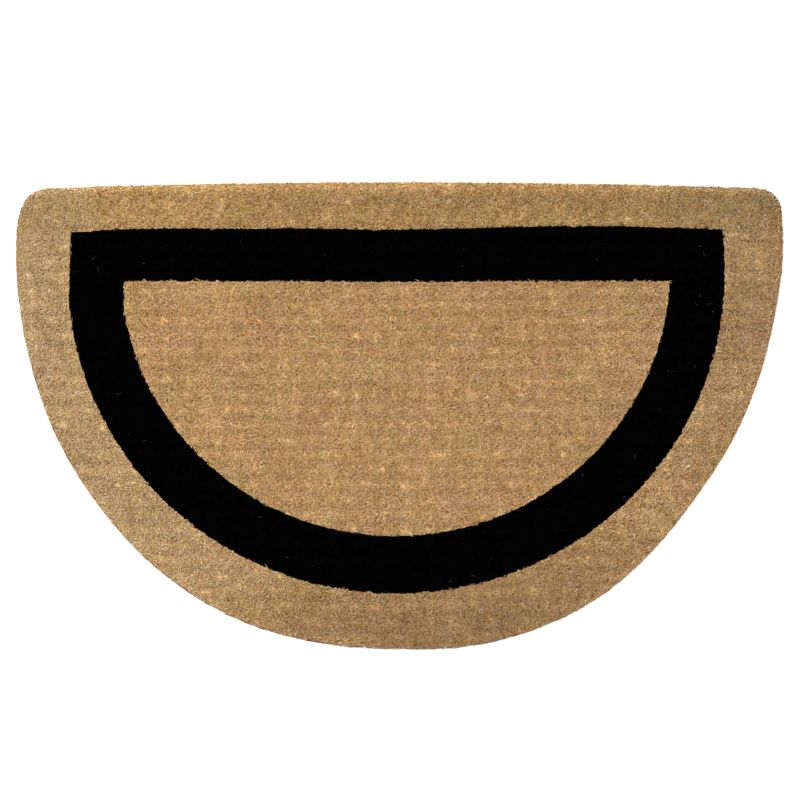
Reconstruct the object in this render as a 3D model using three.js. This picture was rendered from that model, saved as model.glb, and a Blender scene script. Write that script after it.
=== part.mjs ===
// Half-round coir doormat, in millimetres. It lies flat, with its underside at z = 0 and its pile up,
// the straight edge towards +Y and the curved edge towards -Y. It is woven in one piece, so it is one solid:
// a flat underside, a wall that spreads from the woven ground to the cut pile, and a top of pile rows.

import * as THREE from 'three';

// Driving dimensions
const HALF_WIDTH = 457;
const THICKNESS = 38;
const TOP_Y = 279; // middle of the straight edge
const FOOT_Y = -279; // foot of the curved edge
const WIDEST_Y = 197; // where the half oval begins, below two short upright sides
const BOW = 7.5; // the straight edge bows outwards by this much

// How far each rounded corner reaches along the straight edge, and down the side below it
const LEFT_CORNER = { along: 40, down: 60 };
const RIGHT_CORNER = { along: 35, down: 35 };

// The curved edge is trimmed by hand: its offset from a true half oval, outwards, at even angles
// that run from the right side, past the foot, to the left side
const TRIM = [
  { angle: 0, offset: 0 },
  { angle: 10, offset: -5 },
  { angle: 20, offset: -6.5 },
  { angle: 30, offset: -6.8 },
  { angle: 40, offset: -6.2 },
  { angle: 50, offset: -0.6 },
  { angle: 60, offset: 5.2 },
  { angle: 70, offset: 5.8 },
  { angle: 80, offset: 4 },
  { angle: 90, offset: -0.3 },
  { angle: 100, offset: 1.8 },
  { angle: 110, offset: 5.8 },
  { angle: 120, offset: 7.5 },
  { angle: 130, offset: 6.3 },
  { angle: 140, offset: 3.6 },
  { angle: 150, offset: 2.2 },
  { angle: 160, offset: -0.2 },
  { angle: 170, offset: -1 },
  { angle: 180, offset: 0 },
];

// Section of the wall, from the edge of the top down to the underside:
// how far each ring lies inside the outline, and its height as a share of the pile's height there
const WALL = [
  { inset: 9, height: 1 },
  { inset: 4.5, height: 0.96 },
  { inset: 1.3, height: 0.87 },
  { inset: 0, height: 0.74 },
  { inset: 1.2, height: 0.38 },
  { inset: 1, height: 0.16 },
  { inset: 2, height: 0 },
];

// Pile rows run along X. Each has a crest, and a shallow valley parts it from the next
const ROW_PITCH = 17.8;
const ROW_DIP = 2;
const ROW_TUCK = 1.2; // the wall draws in by this much at each valley
const FIRST_ROW_Y = 259; // first valley line, at the corners of the top
const ROW_LINES = 58; // crests and valleys, counted from the first line
const LINES_TO_STRAIGHTEN = 3; // lines over which the rows go from the edge's bow to straight
const COLUMNS = 40;
const LUMP = 0.7; // half of the uneven height that the shears leave
const LUMP_LENGTH = 26;

// Fineness of the outline
const OVAL_STEPS = 36;
const OUTLINE_POINTS = 720;

const COIR = new THREE.MeshStandardMaterial({ color: 0xb18b5f, roughness: 1, metalness: 0 });

// The half oval of the curved edge, from the right side round to the left
function halfOval() {
  const trim = new THREE.SplineCurve(TRIM.map(({ angle, offset }) => new THREE.Vector2(angle, offset)));
  return Array.from({ length: OVAL_STEPS + 1 }, (_, step) => {
    const share = step / OVAL_STEPS;
    const { y: offset } = trim.getPoint(share);
    const x = (HALF_WIDTH + offset) * Math.cos(share * Math.PI);
    const drop = (WIDEST_Y - FOOT_Y + offset) * Math.sin(share * Math.PI);
    return new THREE.Vector2(x, WIDEST_Y - drop);
  });
}

// The trimmed outline as an even loop of points, clockwise from above
function outline() {
  const endY = TOP_Y - BOW;
  const shape = new THREE.Shape();
  shape.moveTo(LEFT_CORNER.along - HALF_WIDTH, endY);
  shape.quadraticCurveTo(0, TOP_Y + BOW, HALF_WIDTH - RIGHT_CORNER.along, endY);
  shape.quadraticCurveTo(HALF_WIDTH, endY, HALF_WIDTH, endY - RIGHT_CORNER.down);
  shape.splineThru(halfOval());
  shape.lineTo(-HALF_WIDTH, endY - LEFT_CORNER.down);
  shape.quadraticCurveTo(-HALF_WIDTH, endY, LEFT_CORNER.along - HALF_WIDTH, endY);
  return shape.getSpacedPoints(OUTLINE_POINTS).slice(0, OUTLINE_POINTS);
}

// A clockwise loop moved outwards, or inwards where the distance is negative
function moved(loop, distance) {
  return loop.map((point, i) => {
    const along = loop[(i + 1) % loop.length].clone().sub(loop.at(i - 1)).normalize();
    return new THREE.Vector2(point.x - along.y * distance, point.y + along.x * distance);
  });
}

// The lowest and highest places where a loop crosses the line on which one coordinate is fixed
function crossings(loop, fixed, value) {
  const free = fixed === 'x' ? 'y' : 'x';
  const places = [];
  loop.forEach((a, i) => {
    const b = loop[(i + 1) % loop.length];
    if (a[fixed] < value !== b[fixed] < value) {
      places.push(THREE.MathUtils.mapLinear(value, a[fixed], b[fixed], a[free], b[free]));
    }
  });
  return [Math.min(...places), Math.max(...places)];
}

// How far a point of a row moves along Y, so that the first and last rows follow the edge beside them
function edgeShift(edge, x, y, line) {
  const topPull = Math.max(0, 1 - line / LINES_TO_STRAIGHTEN);
  const footPull = Math.max(0, 1 - (ROW_LINES - line) / LINES_TO_STRAIGHTEN);
  if (topPull + footPull === 0) {
    return 0;
  }
  const [foot, top] = crossings(edge, 'x', x);
  return (top - y) * topPull + (foot - y) * footPull;
}

// Height of the sheared pile at a place on a crest line or a valley line
function pileHeight(x, y, isValley) {
  const wave = Math.sin((x + y / 2) / LUMP_LENGTH) * Math.sin((y - x / 3) / LUMP_LENGTH);
  return THICKNESS - LUMP * (1 + wave) - (isValley ? ROW_DIP : 0);
}

// The top of the pile: one list of points for each crest or valley line, left to right
function pileLines() {
  const edge = moved(outline(), -WALL[0].inset);
  return Array.from({ length: ROW_LINES + 1 }, (_, line) => {
    const isValley = line % 2 === 0;
    const tuck = isValley ? ROW_TUCK : 0;
    const rowY = FIRST_ROW_Y - line * (ROW_PITCH / 2);
    const [left, right] = crossings(edge, 'y', rowY);
    return Array.from({ length: COLUMNS + 1 }, (_, column) => {
      const x = THREE.MathUtils.lerp(left + tuck, right - tuck, column / COLUMNS);
      const y = rowY + edgeShift(edge, x, rowY, line);
      return new THREE.Vector3(x, y, pileHeight(x, y, isValley));
    });
  });
}

// The border of the top, clockwise from its far left corner
function borderOf(lines) {
  const inner = lines.slice(1, -1);
  return [
    ...lines[0],
    ...inner.map((line) => line.at(-1)),
    ...lines.at(-1).toReversed(),
    ...inner.map((line) => line[0]).toReversed(),
  ];
}

// Rings of points round the wall, each as long as the border, from just below the top to the underside
function wallRings(border) {
  const flat = border.map(({ x, y }) => new THREE.Vector2(x, y));
  return WALL.slice(1).map(({ inset, height }) =>
    moved(flat, WALL[0].inset - inset).map(({ x, y }, i) => new THREE.Vector3(x, y, border[i].z * height)),
  );
}

// Adds two triangles between each pair of neighbours on two lists of points. They face whoever sees the
// upper list above the lower one and both running to the right
function addStrip(triangles, upper, lower) {
  for (let i = 0; i + 1 < upper.length; i++) {
    triangles.push([upper[i], lower[i], lower[i + 1]], [upper[i], lower[i + 1], upper[i + 1]]);
  }
}

function matGeometry() {
  const lines = pileLines();
  const border = borderOf(lines);
  const rings = [border, ...wallRings(border)];
  const underside = rings.at(-1);
  const triangles = [];
  for (let line = 0; line < ROW_LINES; line++) {
    addStrip(triangles, lines[line], lines[line + 1]);
  }
  for (let ring = 0; ring + 1 < rings.length; ring++) {
    const upper = [...rings[ring], rings[ring][0]];
    const lower = [...rings[ring + 1], rings[ring + 1][0]];
    addStrip(triangles, upper.toReversed(), lower.toReversed());
  }
  const contour = underside.map(({ x, y }) => new THREE.Vector2(x, y));
  for (const [a, b, c] of THREE.ShapeUtils.triangulateShape(contour, [])) {
    triangles.push([underside[c], underside[b], underside[a]]);
  }

  const points = [...new Set(triangles.flat())];
  const place = new Map(points.map((point, i) => [point, i]));
  const geometry = new THREE.BufferGeometry().setFromPoints(points);
  geometry.setIndex(triangles.flat().map((point) => place.get(point)));
  geometry.computeBoundingBox();
  const { x, y } = geometry.boundingBox.getCenter(new THREE.Vector3());
  geometry.translate(-x, -y, 0);
  geometry.computeVertexNormals();
  return geometry;
}

const mat = new THREE.Mesh(matGeometry(), COIR);
mat.name = 'mat';

const doormat = new THREE.Group();
doormat.add(mat);

export default doormat;
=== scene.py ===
"""A half-round coir doormat with a plain black border line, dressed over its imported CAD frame.

The mat is a woven coir ground, a core that fills the depth of the pile, and over a hundred thousand coir
strands that stand out of the core. Shapes are worked out in millimetres and turned into metres as each
mesh is made. X runs along the straight edge, Y from the foot of the curve to the straight edge.
"""

import math

import bpy
import numpy as np
from mathutils import Matrix, Vector


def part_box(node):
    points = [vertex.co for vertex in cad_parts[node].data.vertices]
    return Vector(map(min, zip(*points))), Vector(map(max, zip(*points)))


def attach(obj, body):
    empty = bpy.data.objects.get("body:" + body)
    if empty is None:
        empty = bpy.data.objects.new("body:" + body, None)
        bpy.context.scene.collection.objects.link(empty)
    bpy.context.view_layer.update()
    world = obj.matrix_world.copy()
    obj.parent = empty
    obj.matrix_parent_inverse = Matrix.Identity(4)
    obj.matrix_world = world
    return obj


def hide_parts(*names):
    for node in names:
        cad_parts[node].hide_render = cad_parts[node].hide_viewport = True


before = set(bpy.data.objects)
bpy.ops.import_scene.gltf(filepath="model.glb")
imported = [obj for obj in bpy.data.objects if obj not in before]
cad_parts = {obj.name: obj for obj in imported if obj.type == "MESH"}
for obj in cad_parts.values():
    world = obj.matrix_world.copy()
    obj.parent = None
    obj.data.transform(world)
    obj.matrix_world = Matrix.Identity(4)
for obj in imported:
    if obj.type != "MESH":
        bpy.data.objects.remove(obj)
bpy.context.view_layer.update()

MM = 0.001
BODY = "root"
NODE = "mat"
SEED = 36

# Outline, as the CAD solid has it
LOW, HIGH = (np.array(corner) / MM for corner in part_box(NODE))
HALF_WIDTH = (HIGH[0] - LOW[0]) / 2
TOP_Y = HIGH[1]
FOOT_Y = LOW[1]
THICKNESS = HIGH[2]
WIDEST_Y = 197
BOW = 7.5
LEFT_CORNER = {"along": 40, "down": 60}
RIGHT_CORNER = {"along": 35, "down": 35}
RIM_CENTRE = np.array([0, 30])
STRAIGHT_STEPS = 300
CORNER_STEPS = 40
OVAL_STEPS = 720

# The curved edge's offset from a true half oval, outwards, at every 10 degrees from the right to the left
TRIM = np.array([
    0, -5, -6.5, -6.8, -6.2, -0.6, 5.2, 5.8, 4, -0.3,
    1.8, 5.8, 7.5, 6.3, 3.6, 2.2, -0.2, -1, 0,
])

# Shoulder: distances inside the outline, and how far the top of the pile drops at each
SHOULDER_INSET = np.array([0, 1.3, 4.5, 9])
SHOULDER_DROP = np.array([4.4, 1.7, 0.4, 0])

# Pile rows along X, and the tufts along each row
ROW_PITCH = 17.8
ROW_DIP = 1.4
FIRST_ROW_Y = 259
TUFT_PITCH = 22.3
TUFT_DIP = 0.5
TUFT_SHIFT = 0.3
TUFT_SHIFT_TURN = 12.9898  # sets where each row's shift falls
LUMP = 0.7
LUMP_LENGTH = 26

# Shade of a usual strand, and how much darker it is in the valleys
USUAL_SHADE = 0.53
ROW_SHADE_DIP = 0.03
TUFT_SHADE_DIP = 0.015

# Regions of the coir's colour: the place along one line where each begins, and the length over which it
# comes in. The side margins end in a slant above the foot
FOOT_SLANT = 0.7
REGIONS = {
    "side": (330, 60),
    "above_foot": (-130, 90),
    "straight": (190, 50),
    "far_rim_highlight": (258, 19),
    "right_half": (250, 90),
    "far_right": (320, 90),
    "above_far_right": (-160, 120),
    "foot": (130, 120),
    "foot_right": (-245, 200),
    "straight_right": (-300, 150),
}

# How much the fade, the tone, the contrast and the warmth of the coir change in its regions. The middle's
# value holds everywhere, and what runs across grows from the left to the right
FADE = {"side": 0.069, "across": -0.046, "right": 0.035, "straight": -0.04}
# The tone's rim value is a painted highlight where light catches the fibre tips along the far rim
TONE = {"middle": 0.95, "across": -0.045, "right": -0.09, "foot": -0.26, "straight": -0.16, "rim": 0.38}
CONTRAST = {"middle": 0.65, "strong": 0.16}
WARMTH = {"middle": 0.5, "side": -0.08, "straight": -0.14}

# Fade is made up for in the tone. Shares of the change in tone: on the right within the straight margin,
# and in that margin at its left end
TONE_OF_FADE = -1.15
CORNER_SHARE = 0.5
LEFT_END_SHARE = 0.4

# Uneven patches: the length of a patch, how strong it is, and the seed of its places
LINE_PATCHES = ((15, 0.4, SEED + 1), (6, 0.3, SEED + 2))
ROW_PATCHES = ((160, 1.2, SEED + 3),)
TUFT_PATCHES = ((130, 3.5, SEED + 4),)
TONE_PATCHES = ((120, 0.03, SEED + 5), (34, 0.04, SEED + 6), (13, 0.035, SEED + 9))
WARMTH_PATCHES = ((90, 0.07, SEED + 7), (22, 0.07, SEED + 8))

# Black border line: two D shapes, one inside the other, with upright sides above the centre of each arc.
# The heights of their top edges are given at even steps from left to right, as the line wavers there
BORDER_OUTER = {"x": -4.1, "y": 173.4, "radius": 390, "left": -391.5, "right": 387}
BORDER_INNER = {"x": -4.7, "y": 176.9, "radius": 325.6, "left": -326, "right": 321.5}
BORDER_SPAN = 390
OUTER_TOP = np.array([
    216, 219.4, 220.3, 219.8, 220.7, 219.8, 218.8,
    220.6, 222.3, 223.2, 222.8, 221.4, 218.8,
])
INNER_TOP = np.array([155.6, 155.6, 155.2, 154.6, 155, 155.4, 155.8])

# Layers from the floor up
GROUND_TOP = 8
CORE_FOOT = 5
CORE_DEPTH = 4.5

# Camera at the photograph's angle
CAMERA_TILT = math.radians(11)
CAMERA_DISTANCE = 3.0
CAMERA_TARGET = Vector((0.0006, 0.0127, 0.030))
CAMERA_SENSOR = 36
CAMERA_LENS = 114.8


def colour(red, green, blue):
    """A linear colour from its 0 to 255 values on a screen."""
    shares = np.array([red, green, blue]) / 255
    linear = np.where(shares <= 0.04045, shares / 12.92, ((shares + 0.055) / 1.055) ** 2.4)
    return (*linear, 1.0)


# The outline


def smooth_table(values, places):
    """A Catmull-Rom curve through evenly spaced values, read at places from 0 to 1."""
    padded = np.concatenate([values[:1], values, values[-1:]])
    spot = places * (len(values) - 1)
    first = np.minimum(spot.astype(int), len(values) - 2)
    t = spot - first
    a, b, c, d = (padded[first + step] for step in range(4))
    slope = (c - a) * t
    return b + (slope + (2 * a - 5 * b + 4 * c - d) * t**2 + (3 * b - a - 3 * c + d) * t**3) / 2


def bend(start, control, end, steps):
    """A quadratic curve, without its last point."""
    t = np.linspace(0, 1, steps, endpoint=False)[:, None]
    start, control, end = np.array(start), np.array(control), np.array(end)
    return (1 - t) ** 2 * start + 2 * t * (1 - t) * control + t**2 * end


def outline():
    """The mat's trimmed outline as a loop of points, clockwise from above."""
    end_y = TOP_Y - BOW
    share = np.linspace(0, 1, OVAL_STEPS)
    offset = smooth_table(TRIM, share)
    oval_x = (HALF_WIDTH + offset) * np.cos(share * math.pi)
    oval_y = WIDEST_Y - (WIDEST_Y - FOOT_Y + offset) * np.sin(share * math.pi)
    left, right = LEFT_CORNER["along"] - HALF_WIDTH, HALF_WIDTH - RIGHT_CORNER["along"]
    left_side, right_side = end_y - LEFT_CORNER["down"], end_y - RIGHT_CORNER["down"]
    return np.concatenate([
        bend((left, end_y), (0, TOP_Y + BOW), (right, end_y), STRAIGHT_STEPS),
        bend((right, end_y), (HALF_WIDTH, end_y), (HALF_WIDTH, right_side), CORNER_STEPS),
        np.stack([oval_x, oval_y], 1),
        bend((-HALF_WIDTH, left_side), (-HALF_WIDTH, end_y), (left, end_y), CORNER_STEPS),
    ])


def rim_table():
    """The outline's distance from the rim centre by bearing, and how squarely that distance meets it."""
    arms = outline() - RIM_CENTRE
    bearing = np.arctan2(arms[:, 1], arms[:, 0])
    radius = np.hypot(arms[:, 0], arms[:, 1])
    order = np.argsort(bearing)
    bearing, radius = bearing[order], radius[order]
    slope = np.gradient(radius) / np.maximum(np.gradient(bearing), 1e-6) / radius
    return bearing, radius, 1 / np.sqrt(1 + slope**2)


RIM_BEARING, RIM_RADIUS, RIM_SQUARE = rim_table()


def edge_gap(x, y):
    """How far a point lies inside the outline, in millimetres. It is negative outside."""
    dx, dy = x - RIM_CENTRE[0], y - RIM_CENTRE[1]
    bearing = np.arctan2(dy, dx)
    radius = np.interp(bearing, RIM_BEARING, RIM_RADIUS, period=2 * math.pi)
    square = np.interp(bearing, RIM_BEARING, RIM_SQUARE, period=2 * math.pi)
    return (radius - np.hypot(dx, dy)) * square


def shape_gap(x, y, form, top):
    """How far a point lies inside one of the border line's two D shapes."""
    arc = form["radius"] - np.hypot(x - form["x"], np.minimum(y - form["y"], 0))
    share = np.clip((x + BORDER_SPAN) / (2 * BORDER_SPAN), 0, 1)
    return np.minimum.reduce([arc, x - form["left"], form["right"] - x, smooth_table(top, share) - y])


def drift(x, y, length, seed, waves=7):
    """A smooth uneven field of about -1 to 1, in patches of about that length."""
    turns = np.random.default_rng(seed).uniform(0, 2 * math.pi, (waves, 2))
    total = np.zeros_like(x, dtype=float)
    for wave, (heading, phase) in enumerate(turns):
        pitch = length * (0.7 + 0.8 * wave / waves)
        total += np.sin((x * np.cos(heading) + y * np.sin(heading)) * 2 * math.pi / pitch + phase)
    return total / math.sqrt(waves)


def patches(x, y, table):
    """The sum of the uneven fields of a table of patches."""
    return sum(strength * drift(x, y, length, seed) for length, strength, seed in table)


def border_gap(x, y):
    """How far a point lies inside the black line, whose edges waver a little as dyed pile does."""
    outer = shape_gap(x, y, BORDER_OUTER, OUTER_TOP)
    inner = shape_gap(x, y, BORDER_INNER, INNER_TOP)
    return np.minimum(outer, -inner) + patches(x, y, LINE_PATCHES)


def slope_of(field, x, y, step=0.5):
    """The unit direction in which a field grows fastest."""
    dx = field(x + step, y) - field(x - step, y)
    dy = field(x, y + step) - field(x, y - step)
    size = np.maximum(np.hypot(dx, dy), 1e-9)
    return dx / size, dy / size


# The pile's height and colour at a place


def row_phase(x, y):
    """Rows counted down from the first one, with the small waver of hand-set rows."""
    return (FIRST_ROW_Y - y + patches(x, y, ROW_PATCHES)) / ROW_PITCH


def tuft_phase(x, y, row):
    """Tufts counted along a row. Each row starts at its own place."""
    shift = np.sin(row * TUFT_SHIFT_TURN) * TUFT_SHIFT
    return (x + patches(x, y, TUFT_PATCHES)) / TUFT_PITCH + shift


def valleys(x, y):
    """How deep in the valley between rows, and in that between tufts, a place is: 0 to 1 each."""
    phase = row_phase(x, y)
    row_valley = (0.5 + 0.5 * np.cos(2 * math.pi * phase)) ** 2
    tuft_valley = (0.5 + 0.5 * np.cos(2 * math.pi * tuft_phase(x, y, np.floor(phase)))) ** 2
    return row_valley, tuft_valley


def pile_top(x, y):
    """Height of the sheared pile, with its rows, tufts, lumps and rounded shoulder."""
    wave = np.sin((x + y / 2) / LUMP_LENGTH) * np.sin((y - x / 3) / LUMP_LENGTH)
    row_valley, tuft_valley = valleys(x, y)
    shoulder = np.interp(edge_gap(x, y), SHOULDER_INSET, SHOULDER_DROP)
    return THICKNESS - LUMP * (1 + wave) - ROW_DIP * row_valley - TUFT_DIP * tuft_valley - shoulder


def reached(region, value):
    """0 up to where a region begins, then an even rise to 1 over its length."""
    start, length = REGIONS[region]
    return np.clip((value - start) / length, 0, 1)


def side_margin(x, y):
    """1 in the margin on the left and the right, and 0 in the inner field and at the foot."""
    from_middle = np.hypot(x, np.minimum(y - WIDEST_Y, 0))
    return reached("side", from_middle) * reached("above_foot", y - FOOT_SLANT * x)


def straight_margin(y):
    """1 in the margin along the straight edge, and 0 below it."""
    return reached("straight", y)


def place_fade(x, y):
    """How faded the coir is at a place: more in the side margins, and less along the straight edge."""
    side = side_margin(x, y) * (FADE["side"] + FADE["across"] * x / HALF_WIDTH)
    return side + FADE["right"] * reached("right_half", x) + FADE["straight"] * straight_margin(y)


def place_tone(x, y):
    """The multiplier on the coir's colour at a place: dimmer at the foot and the far right, with a painted
    highlight along the far rim.
    """
    straight = straight_margin(y)
    across = TONE["across"] * x / HALF_WIDTH
    right = TONE["right"] * reached("far_right", x) * reached("above_far_right", y)
    right *= 1 - CORNER_SHARE * straight
    foot = TONE["foot"] * reached("foot", -y) * reached("foot_right", x)
    top = TONE["straight"] * straight * np.maximum(reached("straight_right", x), LEFT_END_SHARE)
    # Painted highlight where light catches the fibre tips along the far rim
    rim = TONE["rim"] * reached("far_rim_highlight", y)
    faded = TONE_OF_FADE * place_fade(x, y)
    return TONE["middle"] + across + right + foot + top + rim + faded + patches(x, y, TONE_PATCHES)


def usual_shade(x, y):
    """Shade of a usual strand at a place, a little darker in the valleys."""
    row_valley, tuft_valley = valleys(x, y)
    return USUAL_SHADE + place_fade(x, y) - ROW_SHADE_DIP * row_valley - TUFT_SHADE_DIP * tuft_valley


def place_contrast(x, y):
    """How strongly single strands differ: more along the straight edge and on the right."""
    strong = np.maximum(straight_margin(y), side_margin(-x, y) * (x > 0))
    return CONTRAST["middle"] + CONTRAST["strong"] * strong


def place_warmth(x, y):
    """Where the coir turns from golden, at 0, to pinkish, at 1."""
    margins = np.minimum(WARMTH["side"] * side_margin(x, y), WARMTH["straight"] * straight_margin(y))
    return WARMTH["middle"] + margins + patches(x, y, WARMTH_PATCHES)


# Meshes


def new_piece(name, points, triangles, material):
    """A smooth mesh object from points in millimetres, riding on the mat's body in place of its solid."""
    mesh = bpy.data.meshes.new(name)
    mesh.vertices.add(len(points))
    mesh.vertices.foreach_set("co", (points * MM).astype(np.float32).ravel())
    mesh.loops.add(3 * len(triangles))
    mesh.loops.foreach_set("vertex_index", triangles.astype(np.int32).ravel())
    mesh.polygons.add(len(triangles))
    mesh.polygons.foreach_set("loop_start", np.arange(0, 3 * len(triangles), 3, dtype=np.int32))
    mesh.update(calc_edges=True)
    mesh.shade_smooth()
    mesh.materials.append(material)
    piece = bpy.data.objects.new(name, mesh)
    bpy.context.scene.collection.objects.link(piece)
    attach(piece, BODY)
    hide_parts(NODE)
    return piece


def add_values(piece, **fields):
    """Stores one number for each point of a piece under each name."""
    for name, values in fields.items():
        attribute = piece.data.attributes.new(name, "FLOAT", "POINT")
        attribute.data.foreach_set("value", values.astype(np.float32))


def add_bake_map(piece, places):
    """Gives a piece its UV map, one place for each corner of each triangle."""
    layer = piece.data.uv_layers.new(name="OFBake")
    layer.uv.foreach_set("vector", places.astype(np.float32).ravel())


def edge_crossings(loop, fixed, value):
    """The lowest and highest places where a loop crosses the line on which one coordinate is fixed."""
    along, across = loop[:, fixed], loop[:, 1 - fixed]
    after, beyond = np.roll(along, -1), np.roll(across, -1)
    cuts = (along < value) != (after < value)
    share = (value - along[cuts]) / (after[cuts] - along[cuts])
    places = across[cuts] + share * (beyond[cuts] - across[cuts])
    return places.min(), places.max()


# Where a lattice's first and last lines start, past the first row and the foot, and over how many lines
# they go from the edge's bow to straight
LATTICE_TOP = 4
LATTICE_FOOT = 9
LINES_TO_STRAIGHTEN = 6


def lattice(inset, line_pitch, columns):
    """Points over the mat's plan, in lines along X that end on the outline moved inwards."""
    loop = outline()
    along = np.roll(loop, -1, 0) - np.roll(loop, 1, 0)
    along /= np.linalg.norm(along, axis=1)[:, None]
    loop = loop + inset * np.stack([along[:, 1], -along[:, 0]], 1)
    first, last = FIRST_ROW_Y + LATTICE_TOP, FOOT_Y + LATTICE_FOOT
    count = int((first - last) / line_pitch)
    rows = np.linspace(first, last, count + 1)
    plan = []
    for line, row_y in enumerate(rows):
        left, right = edge_crossings(loop, 1, row_y)
        x = np.linspace(left, right, columns + 1)
        y = np.full_like(x, row_y)
        top_pull = max(0, 1 - line / LINES_TO_STRAIGHTEN)
        foot_pull = max(0, 1 - (count - line) / LINES_TO_STRAIGHTEN)
        if top_pull + foot_pull > 0:
            for column in range(columns + 1):
                foot, top = edge_crossings(loop, 0, x[column])
                y[column] += (top - row_y) * top_pull + (foot - row_y) * foot_pull
        plan.append(np.stack([x, y], 1))
    return np.array(plan)


def lattice_border(lines, columns):
    """Indices of a lattice's border, clockwise from above."""
    grid = np.arange(lines * columns).reshape(lines, columns)
    return np.concatenate([grid[0], grid[1:-1, -1], grid[-1, ::-1], grid[1:-1, 0][::-1]])


def lattice_faces(lines, columns):
    """Triangles over a lattice, facing up."""
    grid = np.arange(lines * columns).reshape(lines, columns)
    a, b, c, d = (part.ravel() for part in (grid[:-1, :-1], grid[1:, :-1], grid[1:, 1:], grid[:-1, 1:]))
    return np.concatenate([np.stack([a, b, c], 1), np.stack([a, c, d], 1)])


def closed_slab(face, rings):
    """A closed mesh of a lattice that faces up, rings of points below its border, and a cap under them."""
    lines, columns = face.shape[:2]
    border = lattice_border(lines, columns)
    count = len(border)
    points = np.concatenate([face.reshape(-1, 3), *rings, rings[-1].mean(0, keepdims=True)])
    loops = [border] + [lines * columns + count * ring + np.arange(count) for ring in range(len(rings))]
    triangles = [lattice_faces(lines, columns)]
    for high, low in zip(loops, loops[1:]):
        high_next, low_next = np.roll(high, -1), np.roll(low, -1)
        triangles.append(np.stack([high, high_next, low], 1))
        triangles.append(np.stack([high_next, low_next, low], 1))
    last = loops[-1]
    triangles.append(np.stack([np.full(count, len(points) - 1), last, np.roll(last, -1)], 1))
    return points, np.concatenate(triangles)


# Places on a strand's bake cell: its cap, the gap at each edge of a side, and where the sides begin and end
CAP_PLACES = ((0.05, 0), (0.95, 0), (0.5, 0.04))
SIDE_GAP = 0.02
SIDE_FOOT = 0.06
SIDE_SPAN = 0.9


def strand_layout(knots):
    """Triangles of one three-sided strand that ends in a point, and their places on its bake cell."""
    rings = knots - 1
    triangles, places = [(0, 2, 1)], [CAP_PLACES]
    tip = 3 * rings
    levels = [SIDE_FOOT + SIDE_SPAN * ring / rings for ring in range(rings + 1)]
    for side in range(3):
        after = (side + 1) % 3
        u0, u1 = side / 3 + SIDE_GAP, (side + 1) / 3 - SIDE_GAP
        for ring in range(rings - 1):
            a, b = 3 * ring + side, 3 * ring + after
            v0, v1 = levels[ring : ring + 2]
            triangles += [(a, b, b + 3), (a, b + 3, a + 3)]
            places += [((u0, v0), (u1, v0), (u1, v1)), ((u0, v0), (u1, v1), (u0, v1))]
        a, b = tip - 3 + side, tip - 3 + after
        v0, v1 = levels[-2:]
        triangles.append((a, b, tip))
        places.append(((u0, v0), (u1, v0), ((u0 + u1) / 2, v1)))
    return np.array(triangles), np.array(places)


def add_strands(name, paths, radii, material, slot, **fields):
    """Adds one piece of many strands. Paths hold each strand's knots, and fields one number for each."""
    count, knots = paths.shape[:2]
    tangent = np.gradient(paths, axis=1)
    tangent /= np.linalg.norm(tangent, axis=2, keepdims=True)
    heading = paths[:, -1] - paths[:, 0]
    side = np.stack([-heading[:, 1], heading[:, 0], np.full(count, 1e-3)], 1)
    side /= np.linalg.norm(side, axis=1)[:, None]
    rise = np.cross(tangent, side[:, None, :])
    rise /= np.linalg.norm(rise, axis=2, keepdims=True)
    corners = []
    for turn in (math.pi / 2, math.pi * 7 / 6, math.pi * 11 / 6):
        offset = np.cos(turn) * side[:, None, :] + np.sin(turn) * rise
        corners.append(paths + offset * radii[:, :, None])
    rings = np.stack(corners, 2)[:, :-1].reshape(count, 3 * (knots - 1), 3)
    points = np.concatenate([rings, paths[:, -1:]], 1)
    layout, places = strand_layout(knots)
    size = points.shape[1]
    triangles = layout[None] + size * np.arange(count)[:, None, None]
    piece = new_piece(name, points.reshape(-1, 3), triangles.reshape(-1, 3), material)
    along = np.append(np.repeat(np.arange(knots - 1) / (knots - 1), 3), 1)
    add_values(piece, along=np.tile(along, count))
    add_values(piece, **{key: np.repeat(values, size) for key, values in fields.items()})
    across = math.ceil(math.sqrt(count))
    cell = np.stack([np.arange(count) % across, np.arange(count) // across], 1)
    add_bake_map(piece, (places[None] + cell[:, None, None, :]) / across)
    return piece


# Materials


def new_material(name):
    """An empty node material with its shader, ready to be wired."""
    material = bpy.data.materials.new(name)
    material.use_nodes = True
    return material, material.node_tree, material.node_tree.nodes["Principled BSDF"]


def add_node(tree, kind, inputs=None, **settings):
    """A node with its settings, and its inputs set or linked by name or number."""
    made = tree.nodes.new(kind)
    for key, value in settings.items():
        setattr(made, key, value)
    for key, value in (inputs or {}).items():
        if isinstance(value, bpy.types.NodeSocket):
            tree.links.new(value, made.inputs[key])
        else:
            made.inputs[key].default_value = value
    return made


def read_value(tree, name):
    """A number that the mesh stores for each point."""
    return add_node(tree, "ShaderNodeAttribute", attribute_name=name).outputs["Fac"]


def math_node(tree, operation, *values, clamp=False):
    """The outcome of one operation on linked values or numbers."""
    inputs = dict(enumerate(values))
    return add_node(tree, "ShaderNodeMath", inputs, operation=operation, use_clamp=clamp).outputs[0]


def scaled(tree, value, factor, start=0.0, clamp=False):
    """A value times a factor, with a start added to it."""
    return math_node(tree, "MULTIPLY_ADD", value, factor, start, clamp=clamp)


def mixed(tree, share, first, second, blend="MIX"):
    """The colour between two colours, or one blended over the other."""
    made = add_node(tree, "ShaderNodeMix", data_type="RGBA", blend_type=blend)
    for socket, value in zip((made.inputs[0], made.inputs[6], made.inputs[7]), (share, first, second)):
        if isinstance(value, bpy.types.NodeSocket):
            tree.links.new(value, socket)
        else:
            socket.default_value = value
    return made.outputs[2]


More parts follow.
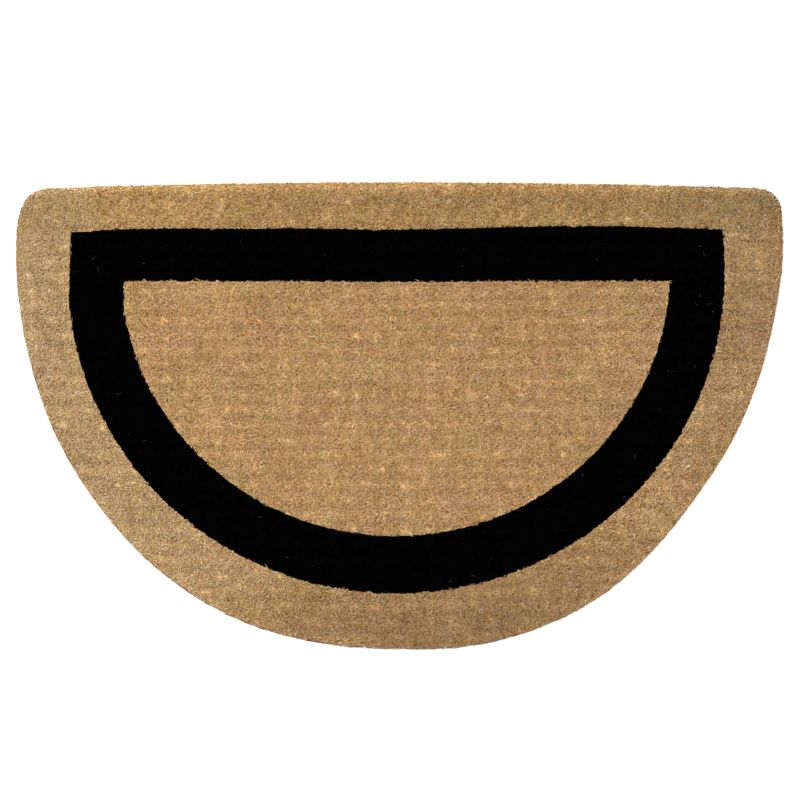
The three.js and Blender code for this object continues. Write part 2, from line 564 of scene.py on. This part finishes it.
def ramp(tree, value, stops):
    """The colour that a value picks between stops."""
    made = add_node(tree, "ShaderNodeValToRGB", {0: value})
    elements = made.color_ramp.elements
    for index, (place, shade) in enumerate(stops):
        element = elements[index] if index < 2 else elements.new(place)
        element.position, element.color = place, shade
    return made.outputs[0]


def noise(tree, scale, detail=3, distortion=0.0, stretch=None, turn=0.0):
    """A noise in the mat's own space, in waves for each metre, drawn out along axes turned about Z."""
    place = add_node(tree, "ShaderNodeTexCoord").outputs["Object"]
    if stretch is not None:
        inputs = {"Vector": place, "Rotation": (0, 0, turn), "Scale": stretch}
        place = add_node(tree, "ShaderNodeMapping", inputs, vector_type="TEXTURE").outputs[0]
    inputs = {"Vector": place, "Scale": scale, "Detail": detail, "Distortion": distortion}
    return add_node(tree, "ShaderNodeTexNoise", inputs).outputs[0]


# Colours by how bright a strand or a cord is, the painted shade in the gaps between fibres, and the tints
# that warmth runs between
COIR_STOPS = (
    (0.0, colour(119, 72, 16)),
    (0.3, colour(169, 128, 70)),
    (0.52, colour(194, 160, 110)),
    (0.76, colour(216, 192, 155)),
    (1.0, colour(238, 222, 202)),
)
GOLDEN_TINT = colour(248, 255, 228)
PINKISH_TINT = colour(255, 237, 253)
DYED_STOPS = (
    (0.0, colour(1, 1, 1)),
    (0.6, colour(4, 3, 3)),
    (0.85, colour(14, 12, 10)),
    (1.0, colour(44, 40, 35)),
)
CORD_STOPS = (
    (0.15, colour(74, 59, 46)),
    (0.45, colour(128, 106, 80)),
    (0.8, colour(186, 161, 124)),
)
CORD_PATCH = colour(136, 112, 86)
GAP_SHADE_STOPS = (
    (0.45, colour(190, 180, 172)),
    (0.6, colour(255, 255, 255)),
)


def grey(tree, value):
    """A grey as bright as a value."""
    return add_node(tree, "ShaderNodeCombineColor", {0: value, 1: value, 2: value}).outputs[0]


def coir_colour(tree, grain, grain_share):
    """Coir from its shade, warmth and tone, with a fine grain over it."""
    lift = scaled(tree, math_node(tree, "SUBTRACT", grain, 0.5), grain_share)
    shade = math_node(tree, "ADD", read_value(tree, "shade"), lift, clamp=True)
    golden = ramp(tree, shade, COIR_STOPS)
    tint = mixed(tree, read_value(tree, "warmth"), GOLDEN_TINT, PINKISH_TINT)
    tinted = mixed(tree, 1.0, golden, tint, "MULTIPLY")
    return mixed(tree, 1.0, tinted, grey(tree, read_value(tree, "tone")), "MULTIPLY")


def fibre_material():
    """Natural coir strands: dry and matt, darker towards the root as painted shade deep in the pile, with a
    fine streak along each.
    """
    material, tree, shader = new_material("coir_fibre")
    grain = noise(tree, scale=900, detail=2)
    base = coir_colour(tree, grain, 0.5)
    # Painted shade: strands grow darker towards the root, deep in the pile
    depth = scaled(tree, read_value(tree, "along"), 0.7, start=0.45, clamp=True)
    tree.links.new(mixed(tree, 1.0, base, grey(tree, depth), "MULTIPLY"), shader.inputs["Base Color"])
    tree.links.new(scaled(tree, grain, 0.3, start=0.55), shader.inputs["Roughness"])
    shader.inputs["Specular IOR Level"].default_value = 0.28
    return material


def dyed_material():
    """Coir strands dyed black, with a trace of brown where the dye lies thin."""
    material, tree, shader = new_material("dyed_fibre")
    grain = noise(tree, scale=700, detail=2)
    thin = math_node(tree, "ADD", read_value(tree, "shade"), scaled(tree, grain, 0.1), clamp=True)
    tree.links.new(ramp(tree, thin, DYED_STOPS), shader.inputs["Base Color"])
    tree.links.new(scaled(tree, grain, 0.2, start=0.75), shader.inputs["Roughness"])
    shader.inputs["Specular IOR Level"].default_value = 0.0
    return material


def crossed_fibres(tree):
    """A noise of fine fibres that cross at three headings."""
    first, second, third = (
        noise(tree, scale=850, detail=1, distortion=0.5, stretch=(7, 1, 3), turn=turn)
        for turn in (0.2, 1.3, 2.3)
    )
    return math_node(tree, "MAXIMUM", math_node(tree, "MAXIMUM", first, second), third)


def core_material():
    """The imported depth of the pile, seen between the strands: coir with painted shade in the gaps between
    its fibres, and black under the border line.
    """
    material, tree, shader = new_material("pile_core")
    fibres = crossed_fibres(tree)
    base = coir_colour(tree, fibres, 1.9)
    # Painted shade in the gaps between the fine fibres
    base = mixed(tree, 1.0, base, ramp(tree, fibres, GAP_SHADE_STOPS), "MULTIPLY")
    inside = math_node(tree, "GREATER_THAN", read_value(tree, "border"), 0.0)
    dyed = mixed(tree, fibres, colour(1, 1, 1), colour(5, 4, 4))
    tree.links.new(mixed(tree, inside, base, dyed), shader.inputs["Base Color"])
    bump = add_node(tree, "ShaderNodeBump", {"Height": fibres, "Distance": 2.5 * MM, "Strength": 1.0})
    tree.links.new(bump.outputs[0], shader.inputs["Normal"])
    tree.links.new(scaled(tree, fibres, 0.15, start=0.8), shader.inputs["Roughness"])
    shader.inputs["Specular IOR Level"].default_value = 0.0
    return material


def ground_material():
    """The woven ground of spun coir cord, with the fine twist of its yarn, and painted shade in its creases
    and up its side.
    """
    material, tree, shader = new_material("ground_weave")
    hair = noise(tree, scale=700, detail=3, distortion=0.8, stretch=(2.5, 1, 1.6))
    patch = noise(tree, scale=12, detail=2)
    place = add_node(tree, "ShaderNodeTexCoord").outputs["Object"]
    wave = {"Vector": place, "Scale": 90.0, "Distortion": 4.0, "Detail": 2.0, "Detail Scale": 2.0}
    twist = add_node(tree, "ShaderNodeTexWave", wave, bands_direction="DIAGONAL").outputs["Fac"]
    strand = math_node(tree, "ADD", scaled(tree, hair, 0.8), scaled(tree, twist, 0.12))
    # Painted shade: darker where the weave is drawn up between its cords, and up the ground's side
    grain = math_node(tree, "SUBTRACT", strand, scaled(tree, read_value(tree, "crease"), 0.45))
    spun = mixed(tree, scaled(tree, patch, 0.35), ramp(tree, grain, CORD_STOPS), CORD_PATCH)
    tree.links.new(spun, shader.inputs["Base Color"])
    bump = add_node(tree, "ShaderNodeBump", {"Height": grain, "Distance": 0.7 * MM, "Strength": 0.8})
    tree.links.new(bump.outputs[0], shader.inputs["Normal"])
    tree.links.new(scaled(tree, hair, 0.2, start=0.75), shader.inputs["Roughness"])
    shader.inputs["Specular IOR Level"].default_value = 0.15
    return material


# The woven ground and the pile's core

WARP_PITCH = 8.9
WEFT_PITCH = 12.0
WEAVE_DEPTH = 1.9
CORD_BULGE = 1.2
GROUND_INSET = 3.2
GROUND_LINES = WARP_PITCH / 4
GROUND_COLUMNS = 220
CORE_INSET = 2.0
CORE_LINES = ROW_PITCH / 4
CORE_COLUMNS = 150

# Rings round the core, from the top down: the height of each, and how far it reaches past the core's top
CORE_RINGS = [(27, 0.7), (18, -0.6), (10, -1.6), (CORE_FOOT, -1)]

# The core is darker than the strands, as painted shade deep in the pile, and painted shade dims its tone
# down
# the wall: two heights, and the tone at each
CORE_DEPTH_SHADE = -0.24
CORE_WALL_SHADE = ((20, 31), (0.45, 1))


def weave_relief(x, y):
    """How far the underside of the plain weave is drawn up at a place, between its cords."""
    warp, weft = y / WARP_PITCH, x / WEFT_PITCH
    cord = np.abs(np.sin(math.pi * warp))
    over = 0.5 + 0.5 * np.cos(math.pi * weft) * np.cos(math.pi * np.round(warp - 0.5))
    cross = np.abs(np.sin(math.pi * weft))
    return WEAVE_DEPTH * (1 - np.maximum(cord * over, cross * (1 - over)))


def side_rings(face, levels):
    """Rings round a lattice's border: each takes a height for every point, and a reach outwards."""
    edge = face.reshape(-1, 3)[lattice_border(*face.shape[:2])]
    in_x, in_y = slope_of(edge_gap, edge[:, 0], edge[:, 1])
    return [
        np.stack([edge[:, 0] - in_x * reach, edge[:, 1] - in_y * reach, np.full(len(edge), height)], 1)
        for height, reach in levels
    ]


def make_ground(material):
    """The woven ground of the mat, a thin sheet that lies on the floor."""
    plan = lattice(GROUND_INSET, GROUND_LINES, GROUND_COLUMNS)
    x, y = plan[..., 0], plan[..., 1]
    face = np.dstack([x, y, weave_relief(x, y)])
    edge_y = y.ravel()[lattice_border(*x.shape)]
    bulge = CORD_BULGE * np.abs(np.sin(math.pi * edge_y / WARP_PITCH)) ** 0.7
    levels = [(1.9, 0.6 * bulge), (4.2, bulge), (6.6, 0.9 * bulge), (GROUND_TOP, 0)]
    points, triangles = closed_slab(face, side_rings(face, levels))
    ground = new_piece("ground_weave", points, triangles[:, ::-1], material)
    # Painted shade, growing with height above the floor: in the weave's recesses and up its side
    add_values(ground, crease=np.clip(points[:, 2] / WEAVE_DEPTH, 0, 1))
    return ground


def make_core(material):
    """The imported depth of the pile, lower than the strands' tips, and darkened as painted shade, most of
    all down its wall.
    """
    plan = lattice(CORE_INSET, CORE_LINES, CORE_COLUMNS)
    x, y = plan[..., 0], plan[..., 1]
    face = np.dstack([x, y, pile_top(x, y) - CORE_DEPTH])
    points, triangles = closed_slab(face, side_rings(face, CORE_RINGS))
    core = new_piece("pile_core", points, triangles, material)
    x, y, z = points.T
    add_values(
        core,
        border=np.clip(border_gap(x, y), -10, 10),
        # Painted shade: the core is darker than the strands, and darker still down the wall
        shade=usual_shade(x, y) + CORE_DEPTH_SHADE,
        tone=place_tone(x, y) * np.interp(z, *CORE_WALL_SHADE),
        warmth=np.clip(place_warmth(x, y), 0, 1),
    )
    return core


# Strands

# How far apart strands stand. Short ones are thinned out to a share of their places away from the rim, and
# all roots stay a little inside the outline
NATURAL_SPACING = 2.6
SHORT_SPACING = 2.2
SHORT_SHARE = 0.7
DYED_SPACING = 3.3
RIM_WIDTH = 12
ROOT_INSET = 1.2

# Two forms of strand: whether it bends, how deep it is rooted, its least reach and how the rest spreads
# on a gamma curve of one shape, its thickness, and how that changes from knot to knot
REACH_SHAPE = 3.2
BENT = {
    "bent": True,
    "root": 8.5,
    "least": 2.0,
    "spread": 1.4,
    "radius": (0.5, 0.88),
    "taper": (1.0, 0.95, 0.4),
}
SHORT = {
    "bent": False,
    "root": 6.5,
    "least": 2.0,
    "spread": 0.9,
    "radius": (0.7, 1.05),
    "taper": (1.0, 0.0),
}

# Some strands lean out from the middle of their tuft: their share, and how far they stray from that heading
TUFT_FOLLOWERS = 0.45
TUFT_STRAY = 0.6

# Tips: how far they may pass the black line and the outline, and how high they end. The last two hold a
# middle and a spread
TUFT_LIFT = 0.35
HIGHEST_TIP = THICKNESS + 2
LINE_SLACK = 0.1
RIM_SLACK = (-1.5, 0.3)
TIP_LIFT = (0.1, 0.7)

# The bend of a bent strand: its place along the strand, how far it curls aside, and its drop from the top
BEND_PLACE = 0.42
CURL = 0.2
BEND_DROP = (0.5, 2.2)

# Spread of shade and warmth from strand to strand and from tuft to tuft, and the pale heart of a tuft
STRAND_SHADE = 0.12
STRAND_WARMTH = 0.38
TUFT_SHADE = 0.03
HEART_SIZE = 3
HEART_SHADE = 0.16
HEART_WARMTH = 0.6

# Single strands that differ: the share of pale and of dark ones in the pile, within the rim, and at the rim
# of the straight edge, where the pale tips are a painted highlight
RIM_REACH = 3.5
PALE = {"pile": 0.035, "rim": 0.22, "straight": 0.7, "change": (0.15, 0.4)}
DARK = {"pile": 0.1, "rim": 0.22, "change": (0.15, 0.45)}

# Dyed strands: the shade of a usual one, and the share and shade of those where the dye lies thin
DYED_SHADE = (0, 0.6)
THIN_DYE = {"share": 0.003, "shade": (0.85, 1.0)}


def scattered(spacing, rng):
    """Places spread evenly at random over the mat, each a little inside the outline."""
    span_x = np.arange(-HALF_WIDTH, HALF_WIDTH, spacing)
    span_y = np.arange(FOOT_Y, TOP_Y, spacing)
    x, y = (part.ravel() for part in np.meshgrid(span_x, span_y))
    x = x + rng.uniform(-0.5, 0.5, len(x)) * spacing
    y = y + rng.uniform(-0.5, 0.5, len(y)) * spacing
    inside = edge_gap(x, y) > ROOT_INSET
    return x[inside], y[inside]


def tuft_traits(x, y, rng):
    """The tuft of each place: the heading out from its middle, its shade and height, and its pale heart."""
    row_spot = row_phase(x, y)
    row = np.floor(row_spot).astype(int)
    tuft_spot = tuft_phase(x, y, row)
    tuft = np.floor(tuft_spot).astype(int)
    rows = row - row.min()
    tufts = tuft - tuft.min()
    size = (rows.max() + 1, tufts.max() + 1)
    middle_x, middle_y = rng.uniform(0.3, 0.7, (2, *size))[:, rows, tufts]
    off_x = (tuft_spot - tuft - middle_x) * TUFT_PITCH
    off_y = (row + middle_y - row_spot) * ROW_PITCH
    heading = np.arctan2(off_y, off_x)
    shade = rng.normal(0, 1, size)[rows, tufts]
    height = rng.normal(0, 1, size)[rows, tufts]
    pale = rng.uniform(0, 1, size)[rows, tufts] ** 2
    heart = pale * np.exp(-(off_x**2 + off_y**2) / (2 * HEART_SIZE**2))
    return heading, shade, height, heart


def held_back(field, x, y, dx, dy, slack):
    """Shortens a reach that would leave the side of a field that its root stands on."""
    grow_x, grow_y = slope_of(field, x, y)
    room = np.maximum(field(x, y), 0) + slack
    toward = dx * grow_x + dy * grow_y
    excess = np.minimum(toward + room, 0)
    return dx - excess * grow_x, dy - excess * grow_y


def kept_inside(x, y, dx, dy, own_side, slack):
    """A reach that leaves neither its own side of the border line nor the mat."""
    dx, dy = held_back(own_side, x, y, dx, dy, LINE_SLACK)
    return held_back(edge_gap, x, y, dx, dy, slack)


def pile_strands(x, y, own_side, form, rng):
    """Paths of strands that rise out of the core: bent over near the sheared top, or short and straight."""
    count = len(x)
    tuft_heading, tuft_shade, tuft_height, heart = tuft_traits(x, y, rng)
    follows = rng.uniform(size=count) < TUFT_FOLLOWERS
    outwards = tuft_heading + rng.normal(0, TUFT_STRAY, count)
    heading = np.where(follows, outwards, rng.uniform(0, 2 * math.pi, count))
    reach = rng.gamma(REACH_SHAPE, form["spread"], count) + form["least"]
    slack = rng.normal(*RIM_SLACK, count)
    dx, dy = kept_inside(x, y, reach * np.cos(heading), reach * np.sin(heading), own_side, slack)
    top = pile_top(x + dx, y + dy) + TUFT_LIFT * tuft_height
    root = np.stack([x, y, pile_top(x, y) - form["root"]], 1)
    tip_height = np.minimum(top + rng.normal(*TIP_LIFT, count), HIGHEST_TIP)
    tip = np.stack([x + dx, y + dy, tip_height], 1)
    knots = [root, tip]
    if form["bent"]:
        curl = rng.normal(0, CURL, count)
        bend_x, bend_y = BEND_PLACE * dx - curl * dy, BEND_PLACE * dy + curl * dx
        bend_x, bend_y = kept_inside(x, y, bend_x, bend_y, own_side, slack)
        bend_height = top - rng.uniform(*BEND_DROP, count)
        knots.insert(1, np.stack([x + bend_x, y + bend_y, bend_height], 1))
    radii = rng.uniform(*form["radius"], count)[:, None] * np.array(form["taper"])
    return np.stack(knots, 1), radii, tuft_shade, heart


def strand_shade(x, y, tuft_shade, heart, rng):
    """Shade of natural strands: that of the place and the tuft, with some pale and some dark ones, and most
    of them pale along the straight edge's rim as a painted highlight.
    """
    count = len(x)
    pick = rng.uniform(size=count)
    at_rim = edge_gap(x, y) < RIM_REACH
    highlight_rim = at_rim & (y > FIRST_ROW_Y)
    # Along the straight edge's rim most strands are pale, as a painted highlight
    pale = pick < np.where(highlight_rim, PALE["straight"], np.where(at_rim, PALE["rim"], PALE["pile"]))
    dark = pick > 1 - np.where(at_rim, DARK["rim"], DARK["pile"])
    change = rng.normal(0, STRAND_SHADE, count)
    change = np.where(pale, change + rng.uniform(*PALE["change"], count), change)
    change = np.where(dark, change - rng.uniform(*DARK["change"], count), change)
    tuft = TUFT_SHADE * tuft_shade + HEART_SHADE * heart
    return np.clip(usual_shade(x, y) + tuft + change * place_contrast(x, y), 0, 1)


def natural_side(x, y):
    """How far a point lies outside the black line."""
    return -border_gap(x, y)


def inner_field(x, y):
    """Whether a place in the natural pile is inside the black line's loop, and not in the margin."""
    return shape_gap(x, y, BORDER_INNER, INNER_TOP) > -10


def add_natural(name, x, y, form, rng, material):
    """One piece of natural strands, rooted at the given places."""
    paths, radii, tuft_shade, heart = pile_strands(x, y, natural_side, form, rng)
    shade = strand_shade(x, y, tuft_shade, heart, rng)
    odd = rng.normal(0, STRAND_WARMTH, len(x)) * place_contrast(x, y)
    warmth = np.clip(place_warmth(x, y) + HEART_WARMTH * heart + odd, 0, 1)
    tone = place_tone(x, y)
    return add_strands(name, paths, radii, material, "coir", shade=shade, warmth=warmth, tone=tone)


def make_natural_pile(material):
    """The natural pile: bent strands in four pieces, and short bristles between them in two."""
    rng = np.random.default_rng(SEED + 20)
    x, y = scattered(NATURAL_SPACING, rng)
    plain = natural_side(x, y) >= 0
    x, y = x[plain], y[plain]
    inner, left = inner_field(x, y), x < 0
    groups = {
        "field_pile_left": inner & left,
        "field_pile_right": inner & ~left,
        "margin_pile_left": ~inner & left,
        "margin_pile_right": ~inner & ~left,
    }
    pieces = [add_natural(name, x[own], y[own], BENT, rng, material) for name, own in groups.items()]
    x, y = scattered(SHORT_SPACING, rng)
    share = np.where(edge_gap(x, y) < RIM_WIDTH, 1, SHORT_SHARE)
    plain = (natural_side(x, y) >= 0) & (rng.uniform(size=len(x)) < share)
    x, y = x[plain], y[plain]
    groups = {"short_pile_left": x < 0, "short_pile_right": x >= 0}
    pieces += [add_natural(name, x[own], y[own], SHORT, rng, material) for name, own in groups.items()]
    return pieces


def make_dyed_pile(material):
    """The black border line's strands."""
    rng = np.random.default_rng(SEED + 30)
    x, y = scattered(DYED_SPACING, rng)
    dyed = border_gap(x, y) > 0
    x, y = x[dyed], y[dyed]
    paths, radii, _, _ = pile_strands(x, y, border_gap, BENT, rng)
    count = len(x)
    thin = rng.uniform(size=count) < THIN_DYE["share"]
    shade = np.where(thin, rng.uniform(*THIN_DYE["shade"], count), rng.uniform(*DYED_SHADE, count))
    return add_strands("border_pile", paths, radii, material, "black_coir", shade=shade)


# Loose fibres: how far apart they lie, how far their roots and then all their knots stay from the black
# line and the outline, their turn and step from knot to knot, the lift of each knot from the pile and its
# share of the thickness, and the spread of that lift, of their shade and of their warmth
LOOSE = {
    "spacing": 14,
    "root_from_line": 5,
    "root_from_edge": 7,
    "from_line": 0.3,
    "from_edge": 2.3,
    "turn": 0.34,
    "step": (2.0, 4.2),
    "radius": (0.3, 0.45),
    "lift": np.array([-2.6, 0.2, 0.7, 0.6, -0.4]),
    "taper": np.array([0.9, 1.0, 1.0, 0.85, 0.3]),
    "lift_spread": 0.3,
    "shade_spread": 0.13,
    "warmth_spread": 0.25,
}


def make_loose_fibres(material):
    """Longer curly fibres that lie across the natural pile."""
    rng = np.random.default_rng(SEED + 40)
    x, y = scattered(LOOSE["spacing"], rng)
    clear = (natural_side(x, y) > LOOSE["root_from_line"]) & (edge_gap(x, y) > LOOSE["root_from_edge"])
    x, y = x[clear], y[clear]
    count, knots = len(x), len(LOOSE["lift"])
    heading = rng.uniform(0, 2 * math.pi, count)
    turn = rng.normal(0, LOOSE["turn"], count)
    step = rng.uniform(*LOOSE["step"], count)
    places = [np.stack([x, y], 1)]
    for knot in range(1, knots):
        way = heading + turn * knot
        places.append(places[-1] + np.stack([step * np.cos(way), step * np.sin(way)], 1))
    plan = np.stack(places, 1)
    x, y = plan[..., 0], plan[..., 1]
    clear = (natural_side(x, y) > LOOSE["from_line"]) & (edge_gap(x, y) > LOOSE["from_edge"])
    keep = clear.all(1)
    plan, x, y = plan[keep], x[keep], y[keep]
    height = pile_top(x, y) + LOOSE["lift"] + rng.normal(0, LOOSE["lift_spread"], x.shape)
    paths = np.concatenate([plan, height[..., None]], 2)
    radii = rng.uniform(*LOOSE["radius"], len(x))[:, None] * LOOSE["taper"]
    x, y = plan[:, 2, 0], plan[:, 2, 1]
    shade = np.clip(USUAL_SHADE + rng.normal(0, LOOSE["shade_spread"], len(x)), 0, 1)
    warmth = np.clip(place_warmth(x, y) + rng.normal(0, LOOSE["warmth_spread"], len(x)), 0, 1)
    tone = place_tone(x, y)
    looks = {"shade": shade, "warmth": warmth, "tone": tone}
    return add_strands("loose_fibres", paths, radii, material, "coir", **looks)


# Strands round the wall: their spacing along it, how far each runs along it from knot to knot and wanders
# there, the heights that they start at, and for each knot its rise, its inset from the outline and its
# share of the thickness. Shade is a middle and a spread, low on the bristles as painted shade on the wall,
# and lifted along the straight edge as a painted highlight on the far rim. Knots wander in depth and height
# too, and each strand takes its own share of the run
FAR_RIM_HIGHLIGHT = 0.3
DEPTH_WANDER = 0.25
HEIGHT_WANDER = 0.7
RUN_SHARE = (0.6, 1.4)
WALL_WARMTH = 0.35
# The bristles' low shade darkens the wall under the shoulder as painted shade
BRISTLES = {
    "spacing": 0.42,
    "run": 0.0,
    "start": (4, 11),
    "wander": 1.7,
    "rise": (0, 17, 25),
    "inset": (3.0, 1.2, 1.3),
    "taper": (0.9, 1.0, 0.0),
    "radius": (0.4, 0.85),
    "shade": (0.33, 0.22),
}
YARNS = {
    "spacing": 4.0,
    "run": 3.4,
    "start": (3, 13),
    "wander": 0.9,
    "rise": (0, 0, 0, 0, 0),
    "inset": (3.2, 1.2, 0.8, 1.0, 2.8),
    "taper": (0.8, 1.0, 1.0, 1.0, 0.5),
    "radius": (0.3, 0.5),
    "shade": (0.6, 0.3),
}
FRAY = {
    "spacing": 0.45,
    "run": 3.0,
    "start": (1, 9),
    "wander": 0.9,
    "rise": (0, 0.4),
    "inset": (3.4, 0.5),
    "taper": (1.0, 0.0),
    "radius": (0.45, 0.8),
    "shade": (0.3, 0.2),
}


def rim_path(spots):
    """Places on the outline at distances along it."""
    loop = outline()
    closed = np.concatenate([loop, loop[:1]])
    length = np.concatenate([[0], np.cumsum(np.hypot(*np.diff(closed, axis=0).T))])
    place = spots % length[-1]
    return np.interp(place, length, closed[:, 0]), np.interp(place, length, closed[:, 1])


def add_rim_strands(name, form, rng, material):
    """Strands of one form round the wall."""
    loop = outline()
    around = np.hypot(*(np.roll(loop, -1, 0) - loop).T).sum()
    count = int(around / form["spacing"])
    spots = rng.uniform(0, around, count)
    level = rng.uniform(*form["start"], count)
    run = form["run"] * rng.choice([-1, 1], count) * rng.uniform(*RUN_SHARE, count)
    knots = []
    for knot, (rise, inset) in enumerate(zip(form["rise"], form["inset"])):
        wander = rng.normal(0, 1, (3, count))
        x, y = rim_path(spots + run * knot + form["wander"] * wander[0])
        in_x, in_y = slope_of(edge_gap, x, y)
        depth = inset + DEPTH_WANDER * wander[1]
        height = np.maximum(level + rise + HEIGHT_WANDER * wander[2], form["radius"][1])
        knots.append(np.stack([x + in_x * depth, y + in_y * depth, height], 1))
    paths = np.stack(knots, 1)
    radii = rng.uniform(*form["radius"], count)[:, None] * np.array(form["taper"])
    x, y = paths[:, 0, 0], paths[:, 0, 1]
    # The lift along the straight edge is a painted highlight on the far rim
    shade = np.clip(rng.normal(*form["shade"], count) + FAR_RIM_HIGHLIGHT * (y > FIRST_ROW_Y), 0, 1)
    warmth = np.clip(place_warmth(x, y) + rng.normal(0, WALL_WARMTH, count), 0, 1)
    tone = place_tone(x, y)
    return add_strands(name, paths, radii, material, "coir", shade=shade, warmth=warmth, tone=tone)


def make_wall_pile(fibre, cord):
    """The wall: bristles up to the shoulder, loose yarns near the floor, and the weave's frayed edge."""
    rng = np.random.default_rng(SEED + 50)
    return [
        add_rim_strands("wall_bristles", BRISTLES, rng, fibre),
        add_rim_strands("rim_yarns", YARNS, rng, fibre),
        add_rim_strands("ground_fray", FRAY, rng, cord),
    ]


# Stage

FLOOR_REACH = 6.0
FLOOR_Z = -0.2 * MM
SURROUND = 1.09  # strength of the white light from all sides


def make_floor():
    """A plain pale floor."""
    mesh = bpy.data.meshes.new("floor")
    corners = [(x * FLOOR_REACH, y * FLOOR_REACH, 0) for x, y in ((-1, -1), (1, -1), (1, 1), (-1, 1))]
    mesh.from_pydata(corners, [], [(0, 1, 2, 3)])
    floor = bpy.data.objects.new("floor", mesh)
    floor.location.z = FLOOR_Z
    bpy.context.scene.collection.objects.link(floor)
    material, tree, shader = new_material("floor")
    paper = mixed(tree, noise(tree, scale=40, detail=2), colour(243, 243, 243), colour(247, 247, 247))
    tree.links.new(paper, shader.inputs["Base Color"])
    shader.inputs["Roughness"].default_value = 0.9
    shader.inputs["Specular IOR Level"].default_value = 0.1
    mesh.materials.append(material)


def add_light(name, place, size, power):
    """A square soft light that faces the mat."""
    data = bpy.data.lights.new(name, "AREA")
    data.size, data.energy = size, power
    light = bpy.data.objects.new(name, data)
    light.location = place
    light.rotation_euler = (-Vector(place)).to_track_quat("-Z", "Y").to_euler()
    bpy.context.scene.collection.objects.link(light)


def make_lights():
    """Soft studio light: a large key high on the left, a front fill, and a white surround."""
    add_light("key", (-1.0, 0.5, 2.7), size=1.6, power=71)
    add_light("fill", (0.9, -1.6, 2.4), size=2.2, power=60)
    world = bpy.data.worlds.new("studio")
    world.use_nodes = True
    background = world.node_tree.nodes["Background"].inputs
    background["Color"].default_value = (1, 1, 1, 1)
    background["Strength"].default_value = SURROUND
    bpy.context.scene.world = world
    bpy.context.scene.view_settings.view_transform = "Standard"


def make_camera():
    """The camera at the photograph's angle: over the mat and a little in front of it."""
    data = bpy.data.cameras.new("camera")
    data.sensor_width, data.lens = CAMERA_SENSOR, CAMERA_LENS
    camera = bpy.data.objects.new("camera", data)
    back = Vector((0, -math.sin(CAMERA_TILT), math.cos(CAMERA_TILT)))
    right = Vector((1, 0, 0))
    turn = Matrix((right, back.cross(right), back)).transposed().to_4x4()
    camera.matrix_world = Matrix.Translation(CAMERA_TARGET + CAMERA_DISTANCE * back) @ turn
    bpy.context.scene.collection.objects.link(camera)
    bpy.context.scene.camera = camera


make_camera()
make_lights()
make_floor()
fibre, dyed = fibre_material(), dyed_material()
cord = ground_material()
ground = make_ground(cord)
pile = [make_core(core_material())]
pile += make_natural_pile(fibre)
pile += [make_dyed_pile(dyed), make_loose_fibres(fibre), *make_wall_pile(fibre, cord)]
